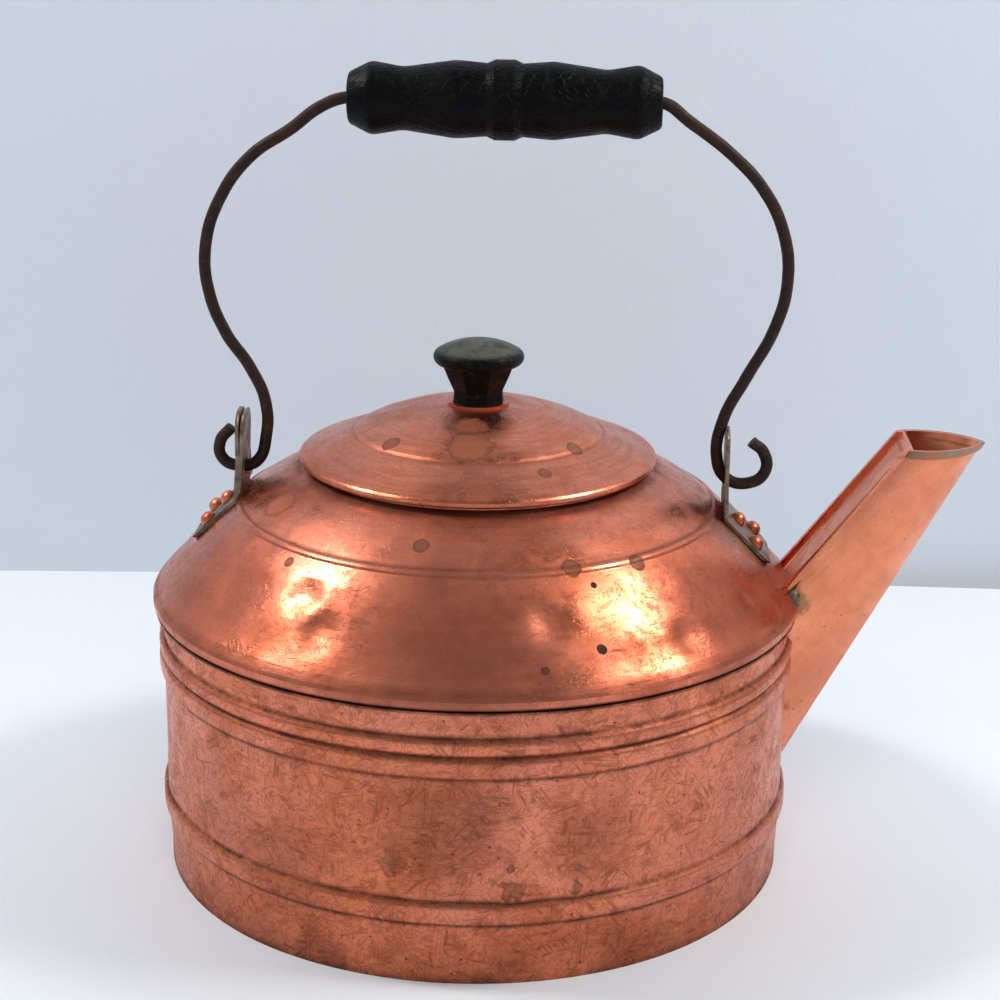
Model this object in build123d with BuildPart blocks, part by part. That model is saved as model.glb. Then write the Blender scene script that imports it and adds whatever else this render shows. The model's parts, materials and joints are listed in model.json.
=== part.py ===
from build123d import *
import os
from math import asin, atan2, cos, degrees, radians, sin, sqrt, tan

# Copper tea kettle: a banded drum, a spun shoulder, a folded sheet spout, a loose lid and a swinging bail.
# Millimetres, +Z up. The origin is the middle of the flat bottom and the spout points along +X.

# Copper sheet
sheet = 0.8
bend_radius = 1.2

# Drum
drum_radius = 113.8
foot_radius = 113.2
foot_straight = 6.0
base_flange = 5.0
bead_proud = 1.2
bead_slope = 1.9
foot_bead_z = 21.7
foot_bead_width = 8.6
wide_bead_z = 74.0
wide_bead_width = 8.0
narrow_bead_width = 6.5
rim_seat_z = 99.2
port_width = 10.0
port_height = 40.0
port_z = 70.0

# Shoulder
rim_radius = 118.0
rim_height = 3.6
rim_hem = 3.0
rim_lip = 0.6
shoulder_slope = 46.5
slope_run = 21.0
crown_radius = 92.0
ring_radius = 86.6
ring_proud = 0.5
ring_round = 0.9
crown_trim = 1.5

# Filling neck
neck_radius = 60.8
neck_drop = 5.0

# Lid
lid_radius = 64.4
lid_gap = 2.8
lid_edge_height = 2.4
lid_hem = 1.8
lid_cone_rise = 7.6
step_radius = 44.0
step_height = 1.2
lid_top_rise = 8.8
lid_flat_radius = 12.5
lid_crown_sag = 0.3
lid_rounds = [0.7, 0.8, 1.0, 1.0, 14.0, 8.0]
neck_clearance = 0.3
collar_clearance = 0.5
collar_depth = 11.0

# Knob
washer_radius = 11.0
washer_thick = 0.9
stem_radius = 9.6
stem_height = 13.6
stem_sides = 8
stem_stations = [(0, 1.0), (0.3, 0.96), (0.66, 1.2), (1.0, 1.4), (1.12, 1.4)]
knob_height = 22.4
knob_radius = 16.2
brim_radius = 14.2
brim_bulge = 2.2
edge_radius = 15.1
edge_height = 5.0
dome_radius = 8.4
dome_sag = 0.9
dome_flat = 3.0
screw_radius = 2.0
screw_depth = 13.0
screw_tail = 4.6
nut_radius = 4.4
nut_thick = 3.0

# Spout
spout_root_x = 105.0
spout_back_x = 153.5
mouth_z = 160.0
mouth_depth = 27.0
mouth_half_width = 13.5
mouth_bulge = 5.4
root_half_width = 14.5
root_bulge = 4.0
back_rise = 1.3125
edge_rise = 1.88
seam_width = 2.2
seam_height = 1.6
seam_overlap = 1.1
band_height = 2.4
band_thick = 0.8

# Ears
ear_thick = 1.3
ear_bend_radius = 0.5
ply_thick = 0.9
ear_half_width = 14.0
tab_half_width = 9.0
tab_height = 31.0
tab_split = 13.0
plate_run = 16.5
plate_sink = 0.35
plate_corner = 5.0
plate_side = 3.0
waist_round = 2.0
taper_share = 0.45
taper_round = 3.0
tab_round = 7.2
left_ear_x = 85.8
right_ear_x = 89.2
pivot_height = 144.0
ear_hole_radius = 3.2

# Rivets
rivet_radius = 1.6
rivet_head_radius = 3.1
rivet_tail_radius = 2.8
rivet_tail = 1.6
rivet_reach = 12.0
upper_rivet_run = 4.6
lower_rivet_run = 10.6
rivet_spread = 8.5

# Bail
wire_radius = 2.2
left_hook = [(-3.2, 17.0), (-9.8, 7.5), (-6.2, 0.0)]
left_leg_gap = 6.6
left_knee = (3.4, 27.0)
left_arch = [(-97.6, 202.5), (-96.6, 230.5), (-85.0, 253.5)]
left_rounds = [6.0, 4.2, 4.6, 8.0, 12.0, 30.0, 24.0, 7.0]
right_arch = [(74.5, 268.5), (96.5, 251.0), (107.6, 231.0), (108.6, 208.5)]
right_leg_gap = 3.0
right_knee_rise = 25.0
right_hook = [(4.6, 0.0), (9.2, -2.6), (15.6, 1.2), (15.4, 9.6), (9.4, 15.0)]
right_rounds = [6.0, 14.0, 18.0, 30.0, 12.0, 9.0, 4.4, 6.0, 5.4, 5.0, 6.0]
grip_axis_z = 277.8
grip_left_x = -46.0
grip_length = 108.5
grip_clearance = 0.1
grip_waist = 10.8
grip_end = 12.7
grip_belly = 13.4
grip_bead = 13.8
grip_groove = 12.5
left_wire_run = 4.5
right_wire_run = 3.5
waist_inset = 19.0
belly_run = 17.0
bead_half = 4.6
bead_flat_half = 3.4
groove_run = 6.2
end_shoulder = 8.0
end_chamfer = 4.0
grip_rounds = [2.0, 5.0, 12.0, 14.0, 0.9, 0.8]


def sheet_profile(points, round_radius):
    """The cut face of a spun sheet, from its outside line given from the lower edge up."""
    with BuildSketch(Plane.XZ) as profile:
        with BuildLine():
            FilletPolyline(*points, radius=round_radius)
            offset(amount=sheet, side=Side.LEFT, closed=True)
        make_face()
    return profile.sketch


def bead(low_z, width):
    """The two shoulders of a raised band rolled into the drum wall."""
    proud = drum_radius + bead_proud
    return (proud, low_z + bead_slope), (proud, low_z + width - bead_slope)


# Outline of the drum wall, from the foot to the flange that carries the shoulder
narrow_bead_z = wide_bead_z + wide_bead_width
flange_z = rim_seat_z - sheet
drum_outline = [
    (foot_radius, 0),
    (foot_radius, foot_straight),
    (drum_radius, foot_bead_z),
    *bead(foot_bead_z, foot_bead_width),
    (drum_radius, foot_bead_z + foot_bead_width),
    (drum_radius, wide_bead_z),
    *bead(wide_bead_z, wide_bead_width),
    (drum_radius, narrow_bead_z),
    *bead(narrow_bead_z, narrow_bead_width),
    (drum_radius, narrow_bead_z + narrow_bead_width),
    (drum_radius, flange_z),
    (rim_radius - rim_lip, flange_z),
]

# Outline of the shoulder: a rolled rim, a straight slope and a crown arc up to the neck
slope = radians(shoulder_slope)
rim_top_z = rim_seat_z + rim_height
crown_start = (rim_radius - slope_run, rim_top_z + slope_run * tan(slope))
crown_centre = (crown_start[0] - crown_radius * sin(slope), crown_start[1] - crown_radius * cos(slope))


def shoulder_z(radius):
    """Height of the outside of the shoulder at a distance from the axis."""
    if radius > crown_start[0]:
        return rim_top_z + (rim_radius - radius) * tan(slope)
    return crown_centre[1] + sqrt(crown_radius**2 - (radius - crown_centre[0]) ** 2)


crown_end_radius = neck_radius - crown_trim
crown_turn = shoulder_slope - degrees(asin((crown_end_radius - crown_centre[0]) / crown_radius))


def shoulder_line():
    """Outside line of the shoulder, which starts with a hem turned in under the rim."""
    rim = FilletPolyline(
        (rim_radius - rim_hem, rim_seat_z),
        (rim_radius, rim_seat_z),
        (rim_radius, rim_top_z),
        crown_start,
        radius=bend_radius,
    )
    return JernArc(start=rim @ 1, tangent=rim % 1, radius=crown_radius, arc_size=crown_turn)


def rivet_planes(side, inner_x):
    """Planes on the face of an ear's plate, one for each rivet, facing out."""
    tip_x = inner_x + plate_run
    drop = shoulder_z(inner_x) - shoulder_z(tip_x)
    length = sqrt(drop**2 + plate_run**2)
    out_x, out_z = drop / length, plate_run / length
    planes = []
    for run, across in (
        (upper_rivet_run, 0),
        (lower_rivet_run, -rivet_spread),
        (lower_rivet_run, rivet_spread),
    ):
        x = inner_x + run + ear_thick * out_x
        z = shoulder_z(inner_x) - plate_sink - run * drop / plate_run + ear_thick * out_z
        planes.append(Plane(origin=(side * x, across, z), x_dir=(0, 1, 0), z_dir=(side * out_x, 0, out_z)))
    return planes


def rivet_holes(side, inner_x):
    """The holes that one ear's rivets need in the plate and the shoulder."""
    with BuildPart() as holes:
        for plane in rivet_planes(side, inner_x):
            with Locations(plane):
                Cylinder(rivet_radius, rivet_reach)
    return holes.part


left_holes = rivet_holes(-1, left_ear_x)
right_holes = rivet_holes(1, right_ear_x)

with BuildPart() as drum_wall:
    add(sheet_profile(drum_outline, bend_radius))
    revolve(axis=Axis.Z)
    with BuildSketch(Plane.YZ.offset(drum_radius - 2 * sheet)):
        with Locations((0, port_z)):
            SlotOverall(port_height, port_width, rotation=90)
    extrude(amount=4 * sheet, mode=Mode.SUBTRACT)

with BuildPart() as drum_base:
    base_radius = foot_radius - sheet
    with BuildSketch(Plane.XZ):
        with BuildLine():
            Polyline(
                (0, 0),
                (base_radius, 0),
                (base_radius, base_flange),
                (base_radius - sheet, base_flange),
                (base_radius - sheet, sheet),
                (0, sheet),
                close=True,
            )
        make_face()
    revolve(axis=Axis.Z)

with BuildPart() as shoulder_dome:
    with BuildSketch(Plane.XZ):
        with BuildLine():
            shoulder_line()
            offset(amount=sheet, side=Side.LEFT, closed=True)
        make_face()
    revolve(axis=Axis.Z)
    with BuildSketch(Plane.XZ):
        with Locations((ring_radius, shoulder_z(ring_radius) - (ring_round - ring_proud) / cos(slope))):
            Circle(ring_round)
    revolve(axis=Axis.Z)
    with BuildSketch(Plane.XY.offset(rim_top_z)):
        Circle(neck_radius)
    extrude(amount=rim_radius, mode=Mode.SUBTRACT)
    add(left_holes, mode=Mode.SUBTRACT)
    add(right_holes, mode=Mode.SUBTRACT)

# The space taken by the drum and shoulder together, and the hollow inside the shoulder
with BuildPart() as body_outside:
    with BuildSketch(Plane.XZ):
        with BuildLine():
            drum_side = FilletPolyline(*drum_outline, radius=bend_radius)
            Polyline(drum_side @ 1, (rim_radius - rim_lip, rim_seat_z), (0, rim_seat_z), (0, 0), drum_side @ 0)
        make_face()
        with BuildLine():
            crown = shoulder_line()
            Polyline(crown @ 1, (0, (crown @ 1).Y), (0, rim_seat_z), (rim_radius - rim_hem, rim_seat_z))
        make_face()
    revolve(axis=Axis.Z)

with BuildPart() as shoulder_hollow:
    with BuildSketch(Plane.XZ):
        with BuildLine():
            crown = shoulder_line()
            Polyline(crown @ 1, (0, (crown @ 1).Y), (0, rim_seat_z), (rim_radius - rim_hem, rim_seat_z))
        make_face()
    revolve(axis=Axis.Z)
    add(shoulder_dome.part, mode=Mode.SUBTRACT)

# Lid outline: hemmed edge, shallow cone, pressed step, crown and a flat for the knob
lid_edge_z = shoulder_z(lid_radius) + lid_gap
cone_foot = (lid_radius, lid_edge_z + lid_edge_height)
cone_head = (step_radius + step_height, cone_foot[1] + lid_cone_rise)
lid_slope = atan2(cone_head[1] - cone_foot[1], cone_foot[0] - cone_head[0])
lid_top_z = cone_head[1] + step_height + lid_top_rise
step_top = (step_radius, cone_head[1] + step_height)
crown_middle = (
    (step_radius + lid_flat_radius) / 2,
    lid_top_z - lid_crown_sag * lid_top_rise,
)
lid_outline = [
    (lid_radius - lid_hem, lid_edge_z),
    (lid_radius, lid_edge_z),
    cone_foot,
    cone_head,
    step_top,
    crown_middle,
    (lid_flat_radius, lid_top_z),
    (screw_radius, lid_top_z),
]


def lid_under_z(radius):
    """Height of the underside of the lid's cone at a distance from the axis."""
    return cone_foot[1] + (lid_radius - radius) * tan(lid_slope) - sheet / cos(lid_slope)


with BuildPart() as lid_dome:
    add(sheet_profile(lid_outline, lid_rounds))
    revolve(axis=Axis.Z)

neck_top_z = lid_under_z(neck_radius) - neck_clearance
with BuildPart() as filling_neck:
    neck_low_z = shoulder_z(neck_radius) - neck_drop
    with BuildSketch(Plane.XY.offset(neck_low_z)):
        Circle(neck_radius)
        Circle(neck_radius - sheet, mode=Mode.SUBTRACT)
    extrude(amount=neck_top_z - neck_low_z)

with BuildPart() as lid_collar:
    collar_outer = neck_radius - sheet - collar_clearance
    collar_inner = collar_outer - sheet
    collar_low_z = neck_top_z - collar_depth
    with BuildSketch(Plane.XZ):
        with BuildLine():
            Polyline(
                (collar_outer, collar_low_z),
                (collar_outer, lid_under_z(collar_outer)),
                (collar_inner, lid_under_z(collar_inner)),
                (collar_inner, collar_low_z),
                close=True,
            )
        make_face()
    revolve(axis=Axis.Z)

# Knob: an eight-sided stem that flares under a round crown, on a washer, held by a screw and nut
knob_z = lid_top_z + washer_thick
with BuildPart() as knob_washer:
    with BuildSketch(Plane.XY.offset(lid_top_z)):
        Circle(washer_radius)
        Circle(screw_radius, mode=Mode.SUBTRACT)
    extrude(amount=washer_thick)

with BuildPart() as lid_knob:
    for height_share, radius_share in stem_stations:
        with BuildSketch(Plane.XY.offset(knob_z + stem_height * height_share)):
            RegularPolygon(stem_radius * radius_share, stem_sides, rotation=180 / stem_sides)
    loft(ruled=True)
    crown_low_z = knob_z + stem_height
    crown_top_z = knob_z + knob_height
    with BuildSketch(Plane.XZ):
        with BuildLine():
            brim = (brim_radius, crown_low_z)
            edge = (edge_radius, crown_low_z + edge_height)
            Line((0, crown_low_z), brim)
            ThreePointArc(brim, (knob_radius, crown_low_z + brim_bulge), edge)
            ThreePointArc(edge, (dome_radius, crown_top_z - dome_sag), (dome_flat, crown_top_z))
            Polyline((dome_flat, crown_top_z), (0, crown_top_z), (0, crown_low_z))
        make_face()
    revolve(axis=Axis.Z)
    with BuildSketch(Plane.XY.offset(knob_z)):
        Circle(screw_radius)
    extrude(amount=screw_depth, mode=Mode.SUBTRACT)

with BuildPart() as knob_screw:
    screw_low_z = lid_top_z - sheet - screw_tail
    with BuildSketch(Plane.XY.offset(screw_low_z)):
        Circle(screw_radius)
    extrude(amount=knob_z + screw_depth - screw_low_z)

with BuildPart() as knob_nut:
    with BuildSketch(Plane.XY.offset(lid_top_z - sheet)):
        RegularPolygon(nut_radius, 6)
        Circle(screw_radius, mode=Mode.SUBTRACT)
    extrude(amount=-nut_thick)

# Spout: a folded V whose open back is closed by a strip, lofted from inside the drum up to the mouth
back_z = mouth_z - back_rise * (spout_back_x - spout_root_x)
root_edge_z = mouth_z - edge_rise * (spout_back_x + mouth_depth - spout_root_x)
root_plane = Plane(origin=(spout_root_x, 0, back_z), x_dir=(0, 1, 0), z_dir=(1, 0, 0))
mouth_plane = Plane(origin=(spout_back_x, 0, mouth_z), x_dir=(0, 1, 0), z_dir=(0, 0, 1))
back_angle = atan2(back_rise, 1)
back_length = (spout_back_x - spout_root_x) / cos(back_angle)
back_plane = Plane(
    origin=(spout_root_x, 0, back_z),
    x_dir=(0, -1, 0),
    z_dir=(-sin(back_angle), 0, cos(back_angle)),
)


def spout_section(plane, half_width, depth, bulge, inset):
    """A V with a flat back and two bowed sides, drawn on its plane and set in by inset."""
    side_length = sqrt(half_width**2 + depth**2)
    middle = (half_width / 2 + bulge * depth / side_length, -depth / 2 - bulge * half_width / side_length)
    with BuildSketch(plane) as section:
        with BuildLine():
            Line((-half_width, 0), (half_width, 0))
            ThreePointArc((half_width, 0), middle, (0, -depth))
            ThreePointArc((0, -depth), (-middle[0], middle[1]), (-half_width, 0))
        make_face()
        if inset:
            offset(amount=-inset, kind=Kind.INTERSECTION, mode=Mode.REPLACE)
    return section.sketch


def spout_solid(wall):
    """The spout's space, smaller all round by a wall, or larger where the wall is negative."""
    with BuildPart() as space:
        add(spout_section(root_plane, root_half_width, back_z - root_edge_z, root_bulge, wall / cos(back_angle)))
        add(spout_section(mouth_plane, mouth_half_width, mouth_depth, mouth_bulge, wall / sin(back_angle)))
        loft(ruled=True)
    return space.part


spout_outside = spout_solid(0)
spout_inside = spout_solid(sheet)
spout_around = spout_solid(-band_thick)

with BuildPart() as spout_top_strip:
    root_strip = root_half_width - seam_overlap
    mouth_strip = mouth_half_width - seam_overlap
    strip_end = back_length + 2 * seam_width
    with BuildSketch(back_plane):
        with BuildLine():
            Polyline(
                (-root_strip, 0),
                (root_strip, 0),
                (mouth_strip, strip_end),
                (-mouth_strip, strip_end),
                close=True,
            )
        make_face()
    extrude(amount=-sheet)
    for side in (-1, 1):
        with BuildSketch(back_plane):
            with BuildLine():
                Polyline(
                    (side * root_strip - seam_width / 2, 0),
                    (side * root_strip + seam_width / 2, 0),
                    (side * mouth_strip + seam_width / 2, strip_end),
                    (side * mouth_strip - seam_width / 2, strip_end),
                    close=True,
                )
            make_face()
        extrude(amount=seam_height)
    split(bisect_by=Plane.XY.offset(mouth_z), keep=Keep.BOTTOM)
    add(body_outside.part, mode=Mode.SUBTRACT)

with BuildPart() as spout_body:
    add(spout_outside)
    add(spout_inside, mode=Mode.SUBTRACT)
    add(body_outside.part, mode=Mode.SUBTRACT)
    add(spout_top_strip.part, mode=Mode.SUBTRACT)

with BuildPart() as spout_mouth_band:
    add(spout_around)
    split(bisect_by=Plane.XY.offset(mouth_z - band_height), keep=Keep.TOP)
    split(bisect_by=back_plane, keep=Keep.BOTTOM)
    add(spout_outside, mode=Mode.SUBTRACT)
    add(spout_top_strip.part, mode=Mode.SUBTRACT)


def ear_part(side, inner_x, doubled):
    """One ear: a riveted plate down the slope, a bend and an upright tab, which may be folded double."""
    bend_z = shoulder_z(inner_x) - plate_sink
    tip_x = inner_x + plate_run
    tip_z = shoulder_z(tip_x) - plate_sink
    top_z = bend_z + tab_height
    taper_z = bend_z + taper_share * tab_height
    with BuildPart() as ear:
        with BuildSketch(Plane.XZ):
            with BuildLine():
                FilletPolyline(
                    (side * inner_x, top_z),
                    (side * inner_x, bend_z),
                    (side * tip_x, tip_z),
                    radius=ear_bend_radius,
                )
                offset(amount=ear_thick, side=Side.LEFT if side > 0 else Side.RIGHT, closed=True)
            make_face()
            if doubled:
                ply_x = side * (inner_x - ply_thick)
                with BuildLine():
                    Polyline(
                        (side * inner_x, bend_z + 2 * ply_thick),
                        (ply_x, bend_z + 3 * ply_thick),
                        (ply_x - side * ply_thick, top_z - ply_thick),
                        (ply_x, top_z - ply_thick),
                        (side * inner_x, bend_z + tab_split),
                        close=True,
                    )
                make_face()
        extrude(amount=ear_half_width, both=True)
        with BuildSketch(Plane.YZ):
            with BuildLine():
                tab = FilletPolyline(
                    (0, tip_z),
                    (ear_half_width, tip_z),
                    (ear_half_width, bend_z + plate_side),
                    (tab_half_width, taper_z),
                    (tab_half_width, top_z),
                    (0, top_z),
                    radius=[plate_corner, waist_round, taper_round, tab_round],
                )
                mirror(tab, about=Plane.YZ)
            make_face()
        extrude(amount=side * 2 * tip_x, mode=Mode.INTERSECT)
        with BuildSketch(Plane.YZ):
            with Locations((0, pivot_height)):
                Circle(ear_hole_radius)
        extrude(amount=side * (inner_x + 2 * ear_thick), mode=Mode.SUBTRACT)
        add(body_outside.part, mode=Mode.SUBTRACT)
        add(shoulder_dome.part, mode=Mode.SUBTRACT)
        add(left_holes if side < 0 else right_holes, mode=Mode.SUBTRACT)
    return ear


def rivet_part(side, inner_x):
    """The three rivets of one ear, each with a round head outside and a flat one inside."""
    shank = ear_thick + sheet + rivet_tail
    with BuildPart() as rivets:
        for plane in rivet_planes(side, inner_x):
            with Locations(plane.offset(-shank)):
                Cylinder(rivet_tail_radius, shank, align=(Align.CENTER, Align.CENTER, Align.MIN))
        add(shoulder_hollow.part, mode=Mode.INTERSECT)
        for plane in rivet_planes(side, inner_x):
            with Locations(plane.offset(-shank)):
                Cylinder(rivet_radius, shank, align=(Align.CENTER, Align.CENTER, Align.MIN))
            with Locations(plane):
                Sphere(rivet_head_radius, arc_size1=0, align=(Align.CENTER, Align.CENTER, Align.MIN))
    return rivets


ear_left = ear_part(-1, left_ear_x, doubled=True)
ear_right = ear_part(1, right_ear_x, doubled=False)
ear_left_rivets = rivet_part(-1, left_ear_x)
ear_right_rivets = rivet_part(1, right_ear_x)

# Bail: one wire, hooked outward through each ear and straight through the grip
left_leg_x = left_leg_gap - left_ear_x
right_leg_x = right_ear_x - right_leg_gap
grip_right_x = grip_left_x + grip_length
left_bends = [
    *[(x - left_ear_x, z + pivot_height) for x, z in left_hook],
    (left_leg_x, pivot_height),
    (left_leg_x + left_knee[0], pivot_height + left_knee[1]),
    *left_arch,
    (grip_left_x - left_wire_run, grip_axis_z),
]
right_bends = [
    (grip_right_x + right_wire_run, grip_axis_z),
    *right_arch,
    (right_leg_x, pivot_height + right_knee_rise),
    (right_leg_x, pivot_height),
    *[(x + right_ear_x, z + pivot_height) for x, z in right_hook],
]
with BuildPart() as bail_wire:
    with BuildLine(Plane.XZ) as wire_line:
        FilletPolyline(*left_bends, *right_bends, radius=left_rounds + right_rounds)
    with BuildSketch(Plane(origin=wire_line.line @ 0, z_dir=wire_line.line % 0)):
        Circle(wire_radius)
    sweep(path=wire_line.line)

with BuildPart() as bail_grip:
    with BuildSketch(Plane.XZ):
        with BuildLine():
            middle_x = grip_left_x + grip_length / 2
            end_x = grip_length / 2
            half = [
                (bead_flat_half, grip_bead),
                (groove_run, grip_groove),
                (belly_run, grip_belly),
                (end_x - waist_inset, grip_waist),
                (end_x - end_shoulder, grip_end),
                (end_x, grip_end - end_chamfer),
                (end_x, wire_radius + grip_clearance),
            ]
            upper_line = FilletPolyline(
                *[(middle_x - x, grip_axis_z + r) for x, r in reversed(half)],
                *[(middle_x + x, grip_axis_z + r) for x, r in half],
                radius=grip_rounds + grip_rounds[::-1],
            )
            Line(upper_line @ 1, upper_line @ 0)
        make_face()
    revolve(axis=Axis(origin=(0, 0, grip_axis_z), direction=(1, 0, 0)))

parts = {
    "drum_wall": drum_wall,
    "drum_base": drum_base,
    "shoulder_dome": shoulder_dome,
    "filling_neck": filling_neck,
    "spout_body": spout_body,
    "spout_top_strip": spout_top_strip,
    "spout_mouth_band": spout_mouth_band,
    "ear_left": ear_left,
    "ear_right": ear_right,
    "ear_left_rivets": ear_left_rivets,
    "ear_right_rivets": ear_right_rivets,
    "bail_wire": bail_wire,
    "bail_grip": bail_grip,
    "lid_dome": lid_dome,
    "lid_collar": lid_collar,
    "lid_knob": lid_knob,
    "knob_washer": knob_washer,
    "knob_screw": knob_screw,
    "knob_nut": knob_nut,
}

os.makedirs("parts", exist_ok=True)
for name, piece in parts.items():
    piece.part.label = name
    export_step(piece.part, f"parts/{name}.step")
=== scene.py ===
"""Looks of an old copper tea kettle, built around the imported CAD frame."""

import json
import logging
import math
from dataclasses import dataclass
from enum import Enum

import bpy
from mathutils import Matrix, Vector, noise

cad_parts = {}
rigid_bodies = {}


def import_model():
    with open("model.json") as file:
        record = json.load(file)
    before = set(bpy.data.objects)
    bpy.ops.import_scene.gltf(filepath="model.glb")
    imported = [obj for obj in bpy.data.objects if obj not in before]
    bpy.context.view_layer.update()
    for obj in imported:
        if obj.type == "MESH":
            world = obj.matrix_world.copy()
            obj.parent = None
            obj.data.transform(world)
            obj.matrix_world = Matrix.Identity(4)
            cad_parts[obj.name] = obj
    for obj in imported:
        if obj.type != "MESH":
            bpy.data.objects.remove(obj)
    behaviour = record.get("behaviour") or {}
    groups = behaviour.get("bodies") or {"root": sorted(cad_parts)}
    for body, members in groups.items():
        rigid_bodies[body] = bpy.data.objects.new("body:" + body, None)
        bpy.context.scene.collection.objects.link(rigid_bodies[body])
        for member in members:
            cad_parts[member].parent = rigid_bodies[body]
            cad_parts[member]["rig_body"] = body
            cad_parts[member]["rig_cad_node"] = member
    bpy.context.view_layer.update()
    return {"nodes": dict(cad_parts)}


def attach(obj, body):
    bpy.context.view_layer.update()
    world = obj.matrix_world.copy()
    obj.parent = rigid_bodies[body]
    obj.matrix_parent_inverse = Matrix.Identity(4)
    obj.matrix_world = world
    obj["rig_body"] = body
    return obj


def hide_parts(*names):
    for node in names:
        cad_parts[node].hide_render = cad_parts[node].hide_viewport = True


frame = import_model()

log = logging.getLogger("kettle")

MM = 0.001
FULL_TURN = 2 * math.pi
# Metres from the axis at which the scratches' pattern is unrolled
UNROLL_RADIUS = 0.114
# Points closer than these distances in metres are merged, in CAD meshes and in new ones
CAD_MERGE = 0.001 * MM
NEW_MERGE = 0.01 * MM
RUSTED_IRON = "rusted_iron"

Colour = tuple[float, float, float]
Pair = tuple[float, float]
Socket = bpy.types.NodeSocket
Value = float | Socket


class Body(Enum):
    """The moving bodies of the kettle."""

    KETTLE = "kettle"
    BAIL = "bail"
    GRIP = "grip"
    LID = "lid"


class Slot(Enum):
    """The names of the record's material slots, one for each finish."""

    DRUM = "drum_copper"
    SHOULDER = "shoulder_copper"
    LID = "lid_copper"
    SPOUT = "spout_copper"
    RIVET = "rivet_copper"
    TIN = "tinned_sheet"
    IRON = "iron_wire"
    WOOD = "painted_wood"


# Shared tools for wiring node trees


class Graph:
    """Short calls for wiring one node tree."""

    def __init__(self, tree: bpy.types.NodeTree) -> None:
        """Keeps the tree that the nodes are added to."""
        self.tree = tree

    def link(self, source: Socket, target: Socket) -> None:
        """Joins an output to an input."""
        self.tree.links.new(source, target)

    def node(self, kind: str, inputs: dict | None = None, **settings: object) -> bpy.types.Node:
        """Adds one node.

        Args:
            kind: the node's type name, such as ShaderNodeMath.
            inputs: values or sockets for the named or numbered inputs.
            settings: properties of the node.

        Returns:
            The new node.
        """
        made = self.tree.nodes.new(kind)
        for name, value in settings.items():
            setattr(made, name, value)
        for name, value in (inputs or {}).items():
            if isinstance(value, bpy.types.NodeSocket):
                self.link(value, made.inputs[name])
            else:
                made.inputs[name].default_value = value
        return made

    def math(self, operation: str, *values: Value, clamp: bool = False) -> Socket:
        """A Math node on the values, as its output."""
        made = self.node("ShaderNodeMath", dict(enumerate(values)), operation=operation, use_clamp=clamp)
        return made.outputs[0]

    def plus(self, first: Value, second: Value, clamp: bool = False) -> Socket:
        """The sum."""
        return self.math("ADD", first, second, clamp=clamp)

    def minus(self, first: Value, second: Value, clamp: bool = False) -> Socket:
        """The difference."""
        return self.math("SUBTRACT", first, second, clamp=clamp)

    def times(self, first: Value, second: Value) -> Socket:
        """The product."""
        return self.math("MULTIPLY", first, second)

    def over(self, first: Value, second: Value) -> Socket:
        """The quotient."""
        return self.math("DIVIDE", first, second)

    def larger(self, first: Value, second: Value) -> Socket:
        """The larger value."""
        return self.math("MAXIMUM", first, second)

    def gap(self, first: Value, second: Value) -> Socket:
        """How far apart two values are."""
        return self.math("ABSOLUTE", self.minus(first, second))

    def near(self, away: Value, reach: Value) -> Socket:
        """A mask that falls from 1 to 0 over the reach."""
        return self.minus(1.0, self.over(away, reach), clamp=True)

    def parts(self, place: Socket) -> bpy.types.Node:
        """The X, Y and Z of a vector, as outputs."""
        return self.node("ShaderNodeSeparateXYZ", {0: place}).outputs

    def joined(self, x: Value, y: Value, z: Value = 0.0) -> Socket:
        """A vector of three values."""
        return self.node("ShaderNodeCombineXYZ", {0: x, 1: y, 2: z}).outputs[0]

    def vector(self, operation: str, inputs: dict, output: int | str = 0) -> Socket:
        """A Vector Math node, as one output."""
        return self.node("ShaderNodeVectorMath", inputs, operation=operation).outputs[output]

    def remap(self, value: Value, low: Value, high: Value, to_low: float = 0.0, to_high: float = 1.0) -> Socket:
        """A smooth, clamped change of range.

        Args:
            value: what changes.
            low: the value that gives to_low.
            high: the value that gives to_high.
            to_low: the result at low.
            to_high: the result at high.

        Returns:
            The result.
        """
        made = self.node(
            "ShaderNodeMapRange",
            {"Value": value, "From Min": low, "From Max": high, "To Min": to_low, "To Max": to_high},
            interpolation_type="SMOOTHSTEP",
        )
        return made.outputs["Result"]

    def mix(self, share: Value, first: object, second: object) -> Socket:
        """A mix of two colours.

        Args:
            share: how much of the second colour.
            first: a colour or socket.
            second: a colour or socket.

        Returns:
            The colour output.
        """
        made = self.node("ShaderNodeMix", {0: share}, data_type="RGBA", blend_type="MIX")
        for socket, value in ((made.inputs[6], first), (made.inputs[7], second)):
            if isinstance(value, bpy.types.NodeSocket):
                self.link(value, socket)
            else:
                socket.default_value = (*value, 1.0)
        return made.outputs[2]

    def layer(self, mask: Socket, share: Value, below: object, above: object) -> Socket:
        """A colour laid over another inside the mask, at a share of its strength."""
        return self.mix(self.times(mask, share), below, above)

    def noise(
        self, place: Socket, scale: Value, detail: float = 4.0, rough: float = 0.55, bend: float = 0.0
    ) -> Socket:
        """A noise texture.

        Args:
            place: the coordinates.
            scale: how fine it is.
            detail: how many finer layers it has.
            rough: how strong the finer layers are.
            bend: how far it is distorted.

        Returns:
            Its output, from 0 to 1.
        """
        made = self.node(
            "ShaderNodeTexNoise",
            {"Vector": place, "Scale": scale, "Detail": detail, "Roughness": rough, "Distortion": bend},
        )
        return made.outputs["Fac"]

    def stretch(
        self, place: Socket, scale: Colour, turn: Colour = (0, 0, 0), move: Colour = (0, 0, 0)
    ) -> Socket:
        """A Mapping node that stretches, turns and moves the coordinates."""
        made = self.node(
            "ShaderNodeMapping", {"Vector": place, "Scale": scale, "Rotation": turn, "Location": move}
        )
        return made.outputs[0]


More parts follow.
